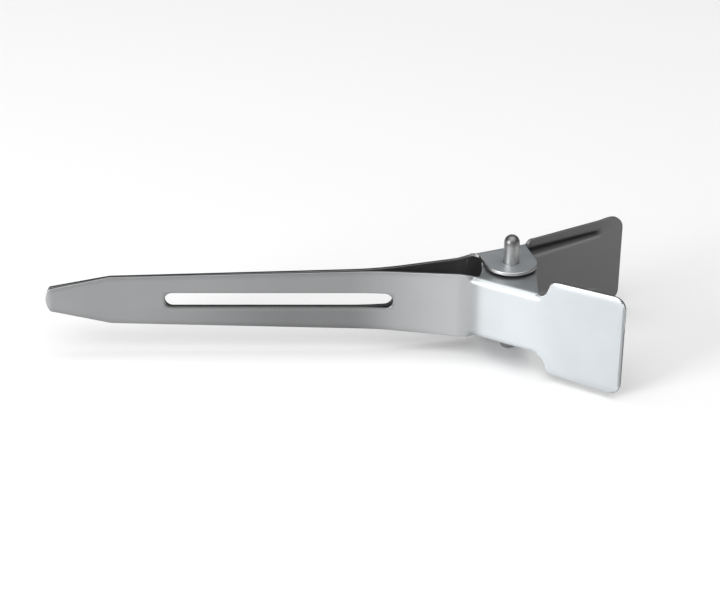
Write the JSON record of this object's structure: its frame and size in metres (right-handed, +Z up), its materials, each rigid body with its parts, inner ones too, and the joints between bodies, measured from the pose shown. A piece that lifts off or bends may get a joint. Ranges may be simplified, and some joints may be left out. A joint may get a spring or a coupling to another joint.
{
  "type": "sectioning clip",
  "caption": "Long flat sectioning clip: two slotted sheet-steel blades with finger tabs, hinged on a pivot pin and held shut by a torsion spring.",
  "frame": {"origin": "bottom centre of the clip's box, level with the foot of the pivot pin", "axes": "+X from the tip to the finger tabs, +Y from the inner arm to the outer arm, +Z up along the pivot pin"},
  "size_m": [0.0988, 0.034, 0.0208],
  "materials": {
    "sheet_steel": "nickel-plated sheet steel, satin and softly reflective, with burnished edges",
    "pin_steel": "turned steel pin with a smooth rounded head",
    "spring_wire": "drawn spring wire, grey"
  },
  "bodies": {
    "outer_half": {"outer_arm": "sheet_steel", "pivot_pin": "pin_steel", "torsion_spring": "spring_wire"},
    "inner_half": {"inner_arm": "sheet_steel"}
  },
  "joints": [
    {"name": "pivot", "type": "hinge", "parent": "outer_half", "child": "inner_half", "pos_m": [0.02875, 0.00176, 0.00945], "axis": [0, 0, 1], "range_deg": [0, 45], "stiffness_Nm_per_rad": 0.2, "springref_deg": -28.65, "deforming": ["torsion_spring"]}
  ]
}
